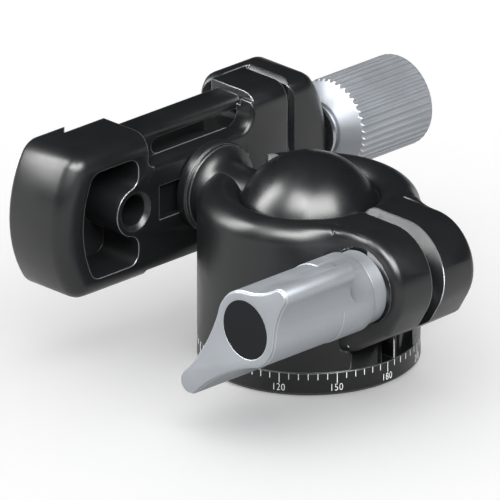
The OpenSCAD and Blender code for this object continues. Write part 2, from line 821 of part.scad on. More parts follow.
// Coils of the spring round the spindle, closed rings side by side
module jaw_spring() {
    coil_r = spring_bore_r - spring_wire_r - spring_play;
    first = spring_from + spring_gap + spring_wire_r;
    last = spring_to - 2 * spring_gap - spring_wire_r;
    color(steel) at_ball() translate([0, spindle_y, 0]) rotate([0, 90, 0])
        for (x = [first : spring_pitch : last])
            translate([0, 0, x]) rotate_extrude() translate([coil_r, 0])
                circle(r = spring_wire_r, $fn = 24);
}

module jaw() {
    lip = right_root - dovetail_h;
    gap = 0.15;
    color(black) at_ball() difference() {
        intersection() {
            clamp_slab();
            // side profile: bevelled inner face, undercut and lip
            translate([0, 0, -2 * clamp_w]) linear_extrude(height = 4 * clamp_w) polygon([
                [jaw_in + split_edge + over, clamp_y - over], [2 * jaw_out, clamp_y - over],
                [2 * jaw_out, clamp_top + over], [lip, clamp_top + over], [lip, clamp_top],
                [right_root - gap, pad_y + gap], [jaw_in, pad_y + gap], [jaw_in, clamp_y + split_edge]]);
            plate_y(0, 2 * clamp_top)
                soft_rect([lip, -clamp_w - eps], [2 * jaw_out, clamp_w + eps], lip_r);
        }
        // bevels up and down the inner face
        for (s = [-1, 1]) plate_y(0, pad_y) polygon([
            [jaw_in - over, s * (clamp_w - split_edge - over)], [jaw_in - over, s * (clamp_w + over)],
            [jaw_in + split_edge + over, s * (clamp_w + over)]]);
        translate([0, spindle_y, 0]) {
            rod_x(spindle_r + gap, 0, 2 * jaw_out);
            rod_x(spring_bore_r, 0, spring_to);
        }
        at_pins() rod_x(pin_r + run, 0, pin_to + pin_room);
    }
}

// ---- Clamp knob ----

module at_spindle() { translate([0, spindle_y, ball_z]) children(); }

module knob_spindle() {
    color(steel) at_spindle() rod_x(spindle_r, spindle_from, spindle_to);
}

module knob_washer() {
    color(steel) at_spindle() difference() {
        rod_x(knob_washer_r, washer_x, knob_x - eps);
        rod_x(spindle_r + run, 0, 2 * knob_x);
    }
}

module at_grub() { rotate([grub_turn, 0, 0]) translate([grub_x, 0, 0]) children(); }

module clamp_knob() {
    end = flute_x + knob_len;
    color(silver) at_spindle() difference() {
        rotate([0, 90, 0]) rotate_extrude() {
            polygon([
                [0, knob_x], [knob_neck_r, knob_x], [knob_neck_r, knob_cone_x], [knob_cone_r, knob_cone_x],
                [knob_r, flute_x], [knob_r, end - knob_edge], [knob_r - knob_edge, end - knob_edge],
                [knob_r - knob_edge, end], [dish_r, end], [dish_r - dish_h / 2, end - dish_h],
                [0, end - dish_h]]);
            intersection() {
                translate([knob_r - knob_edge, end - knob_edge]) circle(r = knob_edge);
                translate([0, end - knob_edge - eps]) square([knob_r, knob_edge + eps]);
            }
        }
        rod_x(spindle_r + eps, 0, knob_bore_to);
        for (i = [0 : flutes - 1]) rotate([360 / flutes * i, 0, 0])
            translate([0, 0, knob_r + flute_out]) rod_x(flute_r, knob_cone_x - over, end + over);
        at_grub() cylinder(r = grub_r + eps, h = 2 * knob_r);
    }
}

module knob_grub() {
    color(steel) at_spindle() at_grub() difference() {
        translate([0, 0, spindle_r + eps]) cylinder(r = grub_r, h = grub_len);
        translate([0, 0, spindle_r + grub_len - grub_hex_d])
            cylinder(r = grub_r / 2, h = 2 * knob_r, $fn = 6);
    }
}

pan_base();
thread_bush();
pan_washer_lower();
pan_washer_upper();
pan_retainer();
retainer_screws();
housing();
bearing_ring();
disc_spring();
ball_seat();
bolt_nut();
lever_washer();
pan_pad();
pan_screw();
pan_knob();
lever_bolt();
lever_collar();
lever_handle();
lever_screw();
lever_cap();
ball();
ball_stem();
clamp_body();
clamp_screw();
guide_pins();
jaw_spring();
jaw();
knob_spindle();
knob_washer();
clamp_knob();
knob_grub();
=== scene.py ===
"""Finishes, scale marks and a studio for the tripod ball head, laid out as an add-on."""

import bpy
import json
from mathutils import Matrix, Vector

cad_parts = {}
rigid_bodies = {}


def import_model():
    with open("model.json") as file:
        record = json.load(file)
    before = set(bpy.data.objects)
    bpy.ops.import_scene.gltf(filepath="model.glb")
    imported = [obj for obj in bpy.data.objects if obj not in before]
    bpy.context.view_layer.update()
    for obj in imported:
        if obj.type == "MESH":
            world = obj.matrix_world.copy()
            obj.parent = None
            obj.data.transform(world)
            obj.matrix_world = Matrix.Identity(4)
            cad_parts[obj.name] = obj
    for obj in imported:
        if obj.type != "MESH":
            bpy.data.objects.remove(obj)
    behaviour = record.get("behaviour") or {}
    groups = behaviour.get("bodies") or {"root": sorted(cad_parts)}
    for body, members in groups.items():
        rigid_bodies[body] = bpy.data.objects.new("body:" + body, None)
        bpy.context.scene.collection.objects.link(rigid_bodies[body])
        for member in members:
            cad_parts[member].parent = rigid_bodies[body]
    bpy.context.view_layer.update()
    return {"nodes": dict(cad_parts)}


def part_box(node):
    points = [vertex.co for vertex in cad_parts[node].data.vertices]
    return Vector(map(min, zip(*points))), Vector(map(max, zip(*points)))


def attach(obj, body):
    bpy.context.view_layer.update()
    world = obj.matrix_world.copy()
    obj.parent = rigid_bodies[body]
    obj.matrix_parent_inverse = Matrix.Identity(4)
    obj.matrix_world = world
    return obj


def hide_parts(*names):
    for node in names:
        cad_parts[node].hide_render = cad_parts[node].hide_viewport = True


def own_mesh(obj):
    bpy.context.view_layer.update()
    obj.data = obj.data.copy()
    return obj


bl_info = {
    "name": "Ball head finish",
    "version": (1, 0, 0),
    "blender": (4, 5, 0),
    "location": "View3D > Sidebar > Ball head",
    "description": "Gives the ball head its finishes, its degree scale and a studio",
    "category": "Object",
}

import json
import math

import bpy
from mathutils import Matrix, Vector

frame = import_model()

MM = 0.001
SAME_CORNER = 0.002 * MM                # corners nearer than this are one
FLAT_ANGLE = math.radians(0.6)          # faces that turn less than this are one flat
SHARP_ANGLE = math.radians(32)          # edges that turn more than this are sharp


# ---- Small helpers ----


def linear(hex_colour):
    """An sRGB hex colour as linear red, green, blue and alpha."""
    digits = hex_colour.lstrip("#")
    channels = [int(digits[i : i + 2], 16) / 255 for i in (0, 2, 4)]
    return tuple(c / 12.92 if c <= 0.04045 else ((c + 0.055) / 1.055) ** 2.4 for c in channels) + (1,)


def add_node(tree, kind, settings=None, links=None):
    """Adds a shader node. Settings are its properties or input values, links join its inputs to
    output sockets. An input goes by its name, or by its number where names repeat."""
    made = tree.nodes.new(kind)
    for key, value in (settings or {}).items():
        if isinstance(key, int) or key in made.inputs:
            made.inputs[key].default_value = value
        else:
            setattr(made, key, value)
    for key, socket in (links or {}).items():
        tree.links.new(socket, made.inputs[key])
    return made


def new_material(name):
    """A material with an empty node tree, as the material and the tree."""
    material = bpy.data.materials.new(name)
    material.use_nodes = True
    material.node_tree.nodes.clear()
    return material, material.node_tree


def paint(material, *pieces):
    """Gives whole pieces one material."""
    for piece in pieces:
        piece.data.materials.clear()
        piece.data.materials.append(material)


def cad(name):
    """The CAD node of that name, as a Blender object."""
    return frame["nodes"][name]


def deselect():
    """Leaves edit mode and clears the selection."""
    if bpy.context.object and bpy.context.object.mode != "OBJECT":
        bpy.ops.object.mode_set(mode="OBJECT")
    bpy.ops.object.select_all(action="DESELECT")


def activate(piece):
    """Makes one piece the only selected and the active one."""
    deselect()
    piece.select_set(True)
    bpy.context.view_layer.objects.active = piece


def settle(piece):
    """Writes a piece's place and turn into its mesh."""
    activate(piece)
    bpy.ops.object.transform_apply(location=True, rotation=True, scale=True)


def joined(name, pieces):
    """Joins pieces into one with that name."""
    activate(pieces[0])
    for piece in pieces:
        piece.select_set(True)
    bpy.ops.object.join()
    pieces[0].name = name
    pieces[0].data.name = name
    return pieces[0]


def own_copy(node, name):
    """A new piece with a copy of a CAD node's mesh, its corners merged and its flats made whole."""
    piece = bpy.data.objects.new(name, cad(node).data.copy())
    piece.data.name = name
    bpy.context.scene.collection.objects.link(piece)
    activate(piece)
    bpy.ops.object.mode_set(mode="EDIT")
    bpy.ops.mesh.select_all(action="SELECT")
    bpy.ops.mesh.remove_doubles(threshold=SAME_CORNER)
    bpy.ops.mesh.dissolve_limited(angle_limit=FLAT_ANGLE)
    deselect()
    return piece


def stand_in(piece, node, body):
    """Lets a piece ride on a body in place of a CAD node."""
    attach(piece, body)
    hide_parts(node)


def soft_edges(node, width, body, segments=2, shape=None):
    """Stands in for a CAD node: the same shape with its sharp edges broken by a small rounding.
    A further change of its shape, if there is one, comes before the rounding."""
    piece = own_copy(node, "soft_" + node)
    if shape:
        shape(piece)
    activate(piece)
    rounding = piece.modifiers.new("edge_rounding", "BEVEL")
    rounding.width = width
    rounding.segments = segments
    rounding.limit_method = "ANGLE"
    rounding.angle_limit = SHARP_ANGLE
    bpy.ops.object.modifier_apply(modifier=rounding.name)
    bpy.ops.object.shade_smooth_by_angle(angle=SHARP_ANGLE)
    stand_in(piece, node, body)
    return piece


# ---- The ears' root on the housing, in millimetres ----

ROUND_R = 19.75                         # outside radius of the housing and of the base's ring
RIM_R = 3.87                            # section of the rounded rim
RIM_Z = 27.9                            # height of that section's centre
EAR_X = 9.66                            # side faces of the ears
EAR_TOP = 31.71
EAR_EDGE = 1.6                          # rounding of the ears' edges
EAR_CORNER = 1.75                       # rounding of their lower corners
EAR_FLOOR = (                           # line along their underside, in Y and Z
    ((-27.4, 15.4), (-19.4, 10.4)),
    ((-19.4, 10.4), (-12.7, 8.4)))
BOLT = (-23.15, 22.6)                   # axis of the clamping bolt, in Y and Z
SPOT_R = 7.0                            # round recess for the lever's collar, on the -X ear
ROOT_BLEND = 5.0                        # reach of the hollow rounding between ear and wall
TOP_BLEND = 0.6                         # reach of the rounding between that and the flat top
ROOT_START = 12.0                       # the hollow rounding grows from nothing at this height
ROOT_FADE = 5.0                         # and is whole this much higher
LEAST_SHARE = 0.01                      # share of it that stands for nothing
ROOT_LOW = (8.0, -24.0, 4.0)            # corners of the box round the crease of the +X ear;
ROOT_HIGH = (18.5, -8.0, 32.0)          # the other ear has its mirror image
ROOT_CELL = 0.55                        # longest edge of the finer mesh in it
SPLITS = 7                              # the mesh is halved this often at most
ON_SURFACE = 0.15                       # how far the mesh may be off the shapes above
SLOPE_STEP = 0.01
NEAR = 0.001                            # a point this near to the blended shape is on it
PULLS = 8                               # steps that a point takes at most to get there
LEAST_SLOPE = 0.2                       # along a flatter slope there's no way there
MOVED = 0.03                            # points moved further than this are evened out


def round_distance(point):
    """Distance of a point from the round body: a wall with a full-round rim."""
    x, y, z = point
    across = math.hypot(x, y)
    if z < RIM_Z:
        return across - ROUND_R
    return math.hypot(across - ROUND_R + RIM_R, z - RIM_Z) - RIM_R


def ear_distance(point):
    """Distance of a point from the block of the two ears, near their root."""
    x, y, z = point
    out = z - EAR_TOP
    for (y0, z0), (y1, z1) in EAR_FLOOR:
        below = ((y - y0) * (z1 - z0) - (z - z0) * (y1 - y0)) / math.hypot(y1 - y0, z1 - z0)
        out = max(out, below - EAR_CORNER)
    side, end = abs(x) - EAR_X + EAR_EDGE, out + EAR_EDGE
    return math.hypot(max(side, 0), max(end, 0)) + min(max(side, end), 0) - EAR_EDGE


def corner_fill(first, second, reach):
    """What a rounding of that reach adds where two distances are about the same."""
    return max(reach - abs(first - second), 0) ** 2 / reach / 4


def blended_distance(point):
    """Distance from both together, with a hollow rounding where they meet, no higher than the ears."""
    wall, ear, height = round_distance(point), ear_distance(point), point[2] - EAR_TOP
    reach = ROOT_BLEND * min(max((point[2] - ROOT_START) / ROOT_FADE, LEAST_SHARE), 1)
    filled = min(wall, ear) - corner_fill(wall, ear, reach)
    return max(filled, height) + corner_fill(filled, height, TOP_BLEND)


def at_root(point):
    """Whether a point lies outside the rim's crest, in the box round the crease of either ear."""
    x, y, z = point
    inside = all(low <= v <= high for low, v, high in zip(ROOT_LOW, (abs(x), y, z), ROOT_HIGH))
    return inside and math.hypot(x, y) > ROUND_R - RIM_R


def select_nothing(mesh):
    """Clears what is selected in a mesh, outside edit mode."""
    for parts in (mesh.polygons, mesh.edges, mesh.vertices):
        parts.foreach_set("select", [False] * len(parts))


def fine_mesh(piece):
    """Halves the long edges at the root until none is left."""
    mesh = piece.data
    for _ in range(SPLITS):
        deselect()
        select_nothing(mesh)
        for edge in mesh.edges:
            start, end = (mesh.vertices[i].co / MM for i in edge.vertices)
            edge.select = (start - end).length > ROOT_CELL and at_root((start + end) / 2)
        if not any(edge.select for edge in mesh.edges):
            return
        activate(piece)
        bpy.ops.object.mode_set(mode="EDIT")
        bpy.ops.mesh.select_mode(type="EDGE")
        bpy.ops.mesh.subdivide(number_cuts=1)
        bpy.ops.mesh.select_mode(type="VERT")
        bpy.ops.mesh.select_more()
        bpy.ops.mesh.quads_convert_to_tris()
    deselect()


def pulled_out(point, away=None):
    """A point of the crease moved out onto the blended shape. It keeps its distance from an axis
    if the direction away from the axis is given."""
    for _ in range(PULLS):
        value = blended_distance(point)
        if value > -NEAR:
            break
        slope = Vector([
            (blended_distance(point + SLOPE_STEP * axis) - value) / SLOPE_STEP
            for axis in Matrix.Identity(3)])
        if away:
            slope -= slope.project(away)
        if slope.length < LEAST_SLOPE:
            break
        point = point - slope * value / slope.length_squared
    return point


def blend_root(piece):
    """Gives the crease between the ears and the round body its hollow rounding."""
    fine_mesh(piece)
    select_nothing(piece.data)
    for vertex in piece.data.vertices:
        point = vertex.co / MM
        on_both = abs(min(round_distance(point), ear_distance(point))) <= ON_SURFACE
        if not at_root(point) or not on_both or point.z > EAR_TOP - ON_SURFACE:
            continue
        away = Vector((0, point.y - BOLT[0], point.z - BOLT[1]))
        past_recess = away.length - SPOT_R if point.x < 0 else math.inf
        if past_recess < -ON_SURFACE:
            continue
        on_recess = past_recess < ON_SURFACE
        target = pulled_out(point, away if on_recess else None)
        vertex.select = not on_recess and (target - point).length > MOVED
        vertex.co = target * MM
    activate(piece)
    bpy.ops.object.mode_set(mode="EDIT")
    bpy.ops.mesh.select_mode(type="VERT")
    bpy.ops.mesh.vertices_smooth(factor=0.5, repeat=4)
    deselect()


# ---- Finishes ----

GRIT = 0.18 * MM                        # the beads' dents, drawn coarser than real so that they show
CLOUDS = 6 * MM                         # slow changes of the gloss
GLOSS_SPREAD = 0.05                     # how much it changes either way
DENT_SHADE = 0.8                        # the dents are this much darker
EDGE_WIDTH = 0.3 * MM                   # reach of the rounded edge normals and of the painted highlight along the edges, drawn a little wider than real
EDGE_HIGHLIGHT = 0.75                       # how far the outer edges go to a lighter bare-metal colour: a painted edge highlight
STREAKS = 0.4 * MM                      # fine turning marks on steel and brass
FIRST_COLOUR, SECOND_COLOUR, MIXED = 6, 7, 2    # a mix node's colour inputs and output


def blasted_metal(name, colour, edge_highlight_colour, metallic, roughness, depth):
    """Bead-blasted and anodised aluminium: a fine even grain that spreads highlights into soft bands, and a
    painted highlight along the sharp outer edges, where the colour turns lighter and more metallic."""
    material, tree = new_material(name)
    place = add_node(tree, "ShaderNodeTexCoord").outputs["Object"]
    grain = add_node(
        tree, "ShaderNodeTexNoise", {"Scale": 1 / GRIT, "Detail": 2.0}, {"Vector": place}).outputs["Fac"]
    clouds = add_node(tree, "ShaderNodeTexNoise", {"Scale": 1 / CLOUDS, "Detail": 3.0}, {"Vector": place})
    gloss = add_node(
        tree, "ShaderNodeMapRange",
        {"From Min": 0.3, "From Max": 0.7,
         "To Min": roughness - GLOSS_SPREAD, "To Max": roughness + GLOSS_SPREAD},
        {"Value": clouds.outputs["Fac"]})
    dark = tuple(DENT_SHADE * c for c in linear(colour)[:3]) + (1,)
    tint = add_node(
        tree, "ShaderNodeMix",
        {"data_type": "RGBA", FIRST_COLOUR: dark, SECOND_COLOUR: linear(colour)}, {"Factor": grain})
    # painted edge highlight: a lighter, more metallic colour on the outer edges, where the rounded normal
    # leaves the flat one and metal ends just behind the surface
    rounded = add_node(tree, "ShaderNodeBevel", {"samples": 6, "Radius": EDGE_WIDTH}).outputs["Normal"]
    flat = add_node(tree, "ShaderNodeNewGeometry").outputs["Normal"]
    turn = add_node(tree, "ShaderNodeVectorMath", {"operation": "DOT_PRODUCT"}, {0: rounded, 1: flat})
    sharp = add_node(
        tree, "ShaderNodeMapRange", {"From Min": 0.985, "From Max": 0.9},
        {"Value": turn.outputs["Value"]})
    inside = add_node(
        tree, "ShaderNodeAmbientOcclusion",
        {"samples": 4, "inside": True, "only_local": True, "Distance": 2 * EDGE_WIDTH})
    outer = add_node(
        tree, "ShaderNodeMapRange", {"From Min": 0.98, "From Max": 0.85, "To Max": EDGE_HIGHLIGHT},
        {"Value": inside.outputs["AO"]})
    edge = add_node(
        tree, "ShaderNodeMath", {"operation": "MULTIPLY"},
        {0: sharp.outputs["Result"], 1: outer.outputs["Result"]}).outputs[0]
    # the outer edges take the lighter edge colour, and more metal below: painted highlight
    shown = add_node(
        tree, "ShaderNodeMix", {"data_type": "RGBA", SECOND_COLOUR: linear(edge_highlight_colour)},
        {"Factor": edge, FIRST_COLOUR: tint.outputs[MIXED]})
    metal = add_node(tree, "ShaderNodeMapRange", {"To Min": metallic}, {"Value": edge})
    bump = add_node(
        tree, "ShaderNodeBump", {"Strength": 0.5, "Distance": depth}, {"Height": grain, "Normal": rounded})
    shader = add_node(
        tree, "ShaderNodeBsdfPrincipled", None,
        {"Base Color": shown.outputs[MIXED], "Metallic": metal.outputs["Result"],
         "Roughness": gloss.outputs["Result"], "Normal": bump.outputs["Normal"]})
    add_node(tree, "ShaderNodeOutputMaterial", None, {"Surface": shader.outputs["BSDF"]})
    return material


def matt_black(name, colour):
    """Matt black enamel on the disc: it takes nearly all light and hardly shines."""
    material, tree = new_material(name)
    shader = add_node(
        tree, "ShaderNodeBsdfPrincipled",
        {"Base Color": linear(colour), "Roughness": 0.8, "Specular IOR Level": 0.1})
    add_node(tree, "ShaderNodeOutputMaterial", None, {"Surface": shader.outputs["BSDF"]})
    return material


def turned_metal(name, colour):
    """Turned steel or brass: a bright metal with faint fine streaks."""
    material, tree = new_material(name)
    place = add_node(tree, "ShaderNodeTexCoord").outputs["Object"]
    streaks = add_node(tree, "ShaderNodeTexNoise", {"Scale": 1 / STREAKS, "Detail": 3.0}, {"Vector": place})
    gloss = add_node(
        tree, "ShaderNodeMapRange", {"To Min": 0.22, "To Max": 0.38}, {"Value": streaks.outputs["Fac"]})
    shader = add_node(
        tree, "ShaderNodeBsdfPrincipled", {"Base Color": linear(colour), "Metallic": 1.0},
        {"Roughness": gloss.outputs["Result"]})
    add_node(tree, "ShaderNodeOutputMaterial", None, {"Surface": shader.outputs["BSDF"]})
    return material


def acetal(name, colour):
    """Machined acetal: a slightly waxy plastic with faint cutter marks."""
    material, tree = new_material(name)
    place = add_node(tree, "ShaderNodeTexCoord").outputs["Object"]
    marks = add_node(tree, "ShaderNodeTexNoise", {"Scale": 1 / (0.5 * MM)}, {"Vector": place})
    bump = add_node(
        tree, "ShaderNodeBump", {"Strength": 0.2, "Distance": 0.01 * MM}, {"Height": marks.outputs["Fac"]})
    shader = add_node(
        tree, "ShaderNodeBsdfPrincipled",
        {"Base Color": linear(colour), "Roughness": 0.4, "IOR": 1.48,
         "Subsurface Weight": 0.1, "Subsurface Scale": 0.5 * MM},
        {"Normal": bump.outputs["Normal"]})
    add_node(tree, "ShaderNodeOutputMaterial", None, {"Surface": shader.outputs["BSDF"]})
    return material


def marking_paint(name, colour):
    """White filling in the engraved scale: matt and slightly uneven."""
    material, tree = new_material(name)
    place = add_node(tree, "ShaderNodeTexCoord").outputs["Object"]
    wear = add_node(tree, "ShaderNodeTexNoise", {"Scale": 1 / (0.3 * MM)}, {"Vector": place})
    gloss = add_node(
        tree, "ShaderNodeMapRange", {"To Min": 0.5, "To Max": 0.8}, {"Value": wear.outputs["Fac"]})
    shader = add_node(
        tree, "ShaderNodeBsdfPrincipled", {"Base Color": linear(colour)},
        {"Roughness": gloss.outputs["Result"]})
    add_node(tree, "ShaderNodeOutputMaterial", None, {"Surface": shader.outputs["BSDF"]})
    return material


# ---- Settings ----


class BallHeadFinish(bpy.types.PropertyGroup):
    """Colours and surface of the pieces"""

    black: bpy.props.StringProperty(
        name="Black", description="sRGB colour of the black anodised pieces", default="#0c0d0e")
    silver: bpy.props.StringProperty(
        name="Silver", description="sRGB colour of the grey anodised lever and knob", default="#9a9ea3")
    disc: bpy.props.StringProperty(
        name="Disc", description="sRGB colour of the disc in the lever's end", default="#0e1011")
    steel: bpy.props.StringProperty(
        name="Steel", description="sRGB colour of the steel pieces", default="#a5a7aa")
    brass: bpy.props.StringProperty(
        name="Brass", description="sRGB colour of the lock's pad", default="#c9a45a")
    plastic: bpy.props.StringProperty(
        name="Plastic", description="sRGB colour of the acetal pieces", default="#e6e2d8")
    marks: bpy.props.StringProperty(
        name="Marks", description="sRGB colour of the scale's filling", default="#e9ebec")
    # colour of the painted highlight along the black pieces' outer edges
    edge: bpy.props.StringProperty(
        name="Edge", description="sRGB colour of the black pieces' burnished edges", default="#9a9c9f")
    # colour of the painted highlight along the grey pieces' outer edges
    silver_edge: bpy.props.StringProperty(
        name="Silver edge", description="sRGB colour of the grey pieces' burnished edges", default="#c2c6ca")
    black_roughness: bpy.props.FloatProperty(
        name="Black roughness", description="Roughness of the black anodising", default=0.34,
        min=0.0, max=1.0)
    ball_roughness: bpy.props.FloatProperty(
        name="Ball roughness", description="Roughness of the ball's anodising", default=0.3,
        min=0.0, max=1.0)
    silver_roughness: bpy.props.FloatProperty(
        name="Silver roughness", description="Roughness of the grey anodising", default=0.5,
        min=0.0, max=1.0)
    edge_rounding: bpy.props.FloatProperty(
        name="Edge rounding", description="Rounding of the deburred edges", default=0.22 * MM,
        unit="LENGTH")


class BallHeadScale(bpy.types.PropertyGroup):
    """Sizes of the degree scale"""

    tick_step: bpy.props.IntProperty(
        name="Tick step", description="Degrees between two ticks", default=5)
    label_step: bpy.props.IntProperty(
        name="Label step", description="Degrees between two numbers", default=30)
    tick_width: bpy.props.FloatProperty(
        name="Tick width", description="Width of a tick", default=0.13 * MM, unit="LENGTH")
    short_tick: bpy.props.FloatProperty(
        name="Short tick", description="Height of a plain tick", default=1.12 * MM, unit="LENGTH")
    long_tick: bpy.props.FloatProperty(
        name="Long tick", description="Height of a numbered tick", default=1.85 * MM, unit="LENGTH")
    digit_height: bpy.props.FloatProperty(
        name="Digit height", description="Height of a digit", default=1.28 * MM, unit="LENGTH")
    index_height: bpy.props.FloatProperty(
        name="Index height", description="Height of the index line on the housing",
        default=3.4 * MM, unit="LENGTH")


class BallHeadStage(bpy.types.PropertyGroup):
    """The studio"""

    azimuth: bpy.props.FloatProperty(
        name="Azimuth", description="Camera's direction round the head",
        default=math.radians(-44.5), unit="ROTATION")
    elevation: bpy.props.FloatProperty(
        name="Elevation", description="Camera's height over the floor",
        default=math.radians(22.5), unit="ROTATION")
    lens: bpy.props.FloatProperty(
        name="Lens", description="Focal length in millimetres", default=1500.0)
    floor: bpy.props.StringProperty(
        name="Floor", description="sRGB colour of the floor", default="#f4f4f4")


# ---- Pieces ----

BLACK_GRAIN = 0.016 * MM                # depth of the grain on each finish
BALL_GRAIN = 0.004 * MM
SILVER_GRAIN = 0.008 * MM
SILVER_METALLIC = 0.85                  # the grey dye takes a little of the metal's shine


class BALLHEAD_OT_black_pieces(bpy.types.Operator):
    """Gives the black anodised pieces their finish"""

    bl_idname = "ball_head.black_pieces"
    bl_label = "Black pieces"

    def execute(self, context):
        look = context.scene.ball_head_finish
        black = blasted_metal(
            "black_hard_anodised_aluminium", look.black, look.edge, 0.0, look.black_roughness, BLACK_GRAIN)
        soft = [soft_edges("housing", look.edge_rounding, "housing", shape=blend_root)]
        for node, body in (("ball_stem", "clamp"), ("clamp_body", "clamp"), ("jaw", "jaw")):
            soft.append(soft_edges(node, look.edge_rounding, body))
        paint(black, cad("pan_base"), cad("pan_knob"), *soft)
        smooth = blasted_metal(
            "polished_black_anodised_aluminium", look.black, look.edge, 0.0, look.ball_roughness,
            BALL_GRAIN)
        paint(smooth, cad("ball"))
        paint(matt_black("matt_black_disc", look.disc), cad("lever_cap"))
        return {"FINISHED"}


class BALLHEAD_OT_silver_pieces(bpy.types.Operator):
    """Gives the lever, its collar and the clamp knob their finish"""

    bl_idname = "ball_head.silver_pieces"
    bl_label = "Silver pieces"

    def execute(self, context):
        look = context.scene.ball_head_finish
        silver = blasted_metal(
            "grey_anodised_aluminium", look.silver, look.silver_edge, SILVER_METALLIC,
            look.silver_roughness, SILVER_GRAIN)
        handle = soft_edges("lever_handle", look.edge_rounding, "lever", segments=3)
        paint(silver, handle, cad("lever_collar"), cad("clamp_knob"))
        return {"FINISHED"}


class BALLHEAD_OT_inner_pieces(bpy.types.Operator):
    """Gives the steel, brass and plastic pieces their finish"""

    bl_idname = "ball_head.inner_pieces"
    bl_label = "Inner pieces"

    def execute(self, context):
        look = context.scene.ball_head_finish
        steel = turned_metal("turned_steel", look.steel)
        paint(steel, *[cad(n) for n in (
            "thread_bush", "pan_retainer", "retainer_screws", "bearing_ring", "disc_spring", "bolt_nut",
            "lever_washer", "pan_screw", "lever_bolt", "lever_screw", "clamp_screw", "guide_pins",
            "knob_spindle", "knob_washer", "knob_grub")])
        spring = own_copy("jaw_spring", "pressed_spring")
        paint(steel, spring)
        stand_in(spring, "jaw_spring", "clamp")
        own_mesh(spring)
        paint(turned_metal("turned_brass", look.brass), cad("pan_pad"))
        paint(acetal("machined_acetal", look.plastic), *[
            cad(n) for n in ("pan_washer_lower", "pan_washer_upper", "ball_seat")])
        return {"FINISHED"}


# ---- Degree scale ----

RING_R = ROUND_R * MM
RING_TOP = 4.3 * MM                     # the parting line
MARK_SINK = 0.05 * MM                   # how deep the filling sits in the metal
MARK_PROUD = 0.012 * MM                 # how far it stands out, so that it isn't hidden
MARK_TOP_GAP = 0.1 * MM                 # clear metal between the parting line and the ticks
MARK_EDGE = 0.01 * MM                   # the bars' broken edges
DIGIT_GAP = 0.16 * MM
DIGIT_THINNING = 0.025                  # thins a digit's strokes, as a share of its height
DIGIT_SPACE = 1.08                      # room from digit to digit
DIGIT_WIDTH = 0.82                      # the digits are this much narrower than the typeface's
TYPE_SIZE = 1.4                         # size of the type over the height of its digits
INDEX_OFFSET = 1.64 * MM                # the index line stands just beside the split
SCALE_ZERO = 90                         # the scale's zero lies towards +Y


def upright_mark(name, width, low, height):
    """A thin upright bar let into the round surface on the +X side, with its edges broken."""
    deselect()
    bpy.ops.mesh.primitive_cube_add(
        size=1, location=(RING_R + (MARK_PROUD - MARK_SINK) / 2, 0, low + height / 2),
        scale=(MARK_SINK + MARK_PROUD, width, height))
    mark = bpy.context.object
    mark.name = name
    settle(mark)
    bpy.ops.object.mode_set(mode="EDIT")
    bpy.ops.mesh.select_all(action="SELECT")
    bpy.ops.mesh.bevel(offset=MARK_EDGE, segments=1)
    deselect()
    return mark


def turned_copy(piece, degrees, name):
    """A copy of a piece with its own mesh, turned about the panning axis."""
    copy = bpy.data.objects.new(name, piece.data.copy())
    copy.data.name = name
    bpy.context.scene.collection.objects.link(copy)
    copy.data.transform(Matrix.Rotation(math.radians(degrees), 4, "Z"))
    return copy


def engraved_number(text, degrees, height, top):
    """A number wrapped on the ring, centred under its tick and readable from outside."""
    deselect()
    bpy.ops.object.text_add()
    curve = bpy.context.object
    curve.name = "number_" + text
    curve.data.body = text
    curve.data.align_x = "CENTER"
    curve.data.size = height * TYPE_SIZE
    curve.data.space_character = DIGIT_SPACE
    curve.data.offset = -DIGIT_THINNING * height
    curve.data.extrude = (MARK_SINK + MARK_PROUD) / 2
    curve.data.resolution_u = 4
    bpy.ops.object.convert(target="MESH")
    digits = bpy.context.object
    points = [v.co for v in digits.data.vertices]
    low, high = min(p.y for p in points), max(p.y for p in points)
    stretch = height / (high - low)
    centre = (min(p.x for p in points) + max(p.x for p in points)) / 2
    for point in points:
        angle = math.radians(degrees) + (point.x - centre) * stretch * DIGIT_WIDTH / RING_R
        radius = RING_R + (MARK_PROUD - MARK_SINK) / 2 + point.z
        point.xyz = (radius * math.cos(angle), radius * math.sin(angle), top - (high - point.y) * stretch)
    return digits


class BALLHEAD_OT_scale_marks(bpy.types.Operator):
    """Engraves and fills the degree scale on the base and the index line on the housing"""

    bl_idname = "ball_head.scale_marks"
    bl_label = "Scale marks"

    def execute(self, context):
        sizes = context.scene.ball_head_scale
        filling = marking_paint("white_filling", context.scene.ball_head_finish.marks)
        top = RING_TOP - MARK_TOP_GAP
        short, long = (
            upright_mark(name, sizes.tick_width, top - height, height)
            for name, height in (("short_tick", sizes.short_tick), ("long_tick", sizes.long_tick)))
        marks = []
        for degrees in range(0, 360, sizes.tick_step):
            labelled = degrees % sizes.label_step == 0
            marks.append(turned_copy(long if labelled else short, degrees + SCALE_ZERO, "tick"))
            if labelled:
                marks.append(engraved_number(
                    str(degrees), degrees + SCALE_ZERO, sizes.digit_height,
                    top - sizes.long_tick - DIGIT_GAP))
        index = upright_mark("index", sizes.tick_width, RING_TOP + 2 * MARK_TOP_GAP, sizes.index_height)
        towards = math.degrees(math.asin(INDEX_OFFSET / RING_R)) - 90
        line = turned_copy(index, towards, "index_line")
        scale = joined("degree_scale", marks)
        for piece, body in ((line, "housing"), (scale, "base")):
            paint(filling, piece)
            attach(piece, body)
        for pattern in (short, long, index):
            bpy.data.objects.remove(pattern)
        return {"FINISHED"}


# ---- Studio ----

